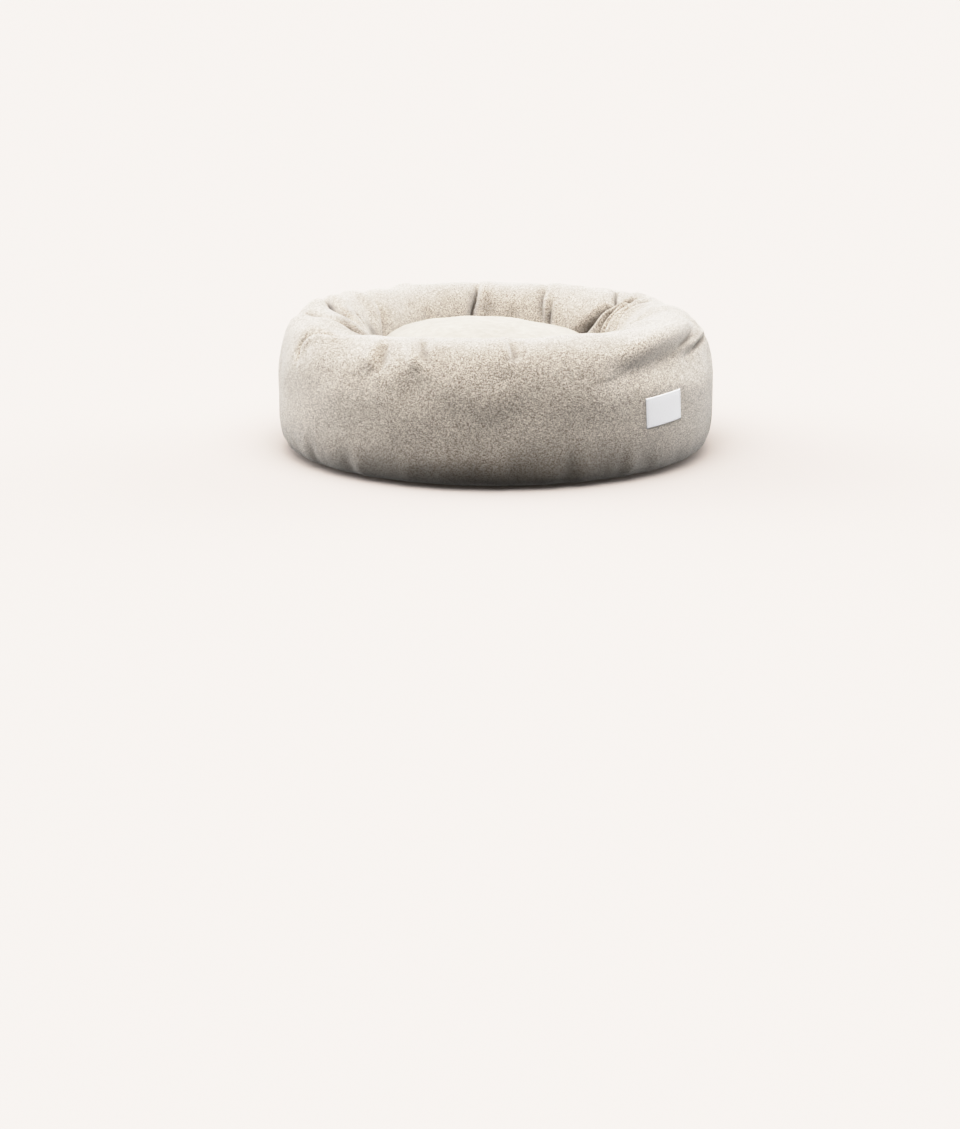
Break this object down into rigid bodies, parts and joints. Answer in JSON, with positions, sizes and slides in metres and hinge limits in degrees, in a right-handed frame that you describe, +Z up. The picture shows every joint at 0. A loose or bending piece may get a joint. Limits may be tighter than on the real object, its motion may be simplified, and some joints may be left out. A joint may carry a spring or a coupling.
{
  "type": "dog bed",
  "caption": "Round nest bed for a small dog: a filled fabric bolster ring with gathered folds round a crowned filled cushion, on a flat base panel.",
  "frame": {"origin": "on the floor under the middle of the bed", "axes": "+Z up, front of the bed with its label towards -Y, +X to the right seen from the front"},
  "size_m": [0.5, 0.5002, 0.1686],
  "materials": {
    "wall_fabric": "heathered linen-look plain weave, light beige with taupe flecks, matte",
    "cushion_fabric": "smooth short-nap pale cream fabric, soft and matte",
    "label_weave": "dense white woven label, left bare",
    "base_cloth": "plain taupe base cloth, matte"
  },
  "bodies": {
    "root": {"base_panel": "base_cloth", "bolster": "wall_fabric", "cushion": "cushion_fabric", "label": "label_weave"}
  },
  "joints": []
}
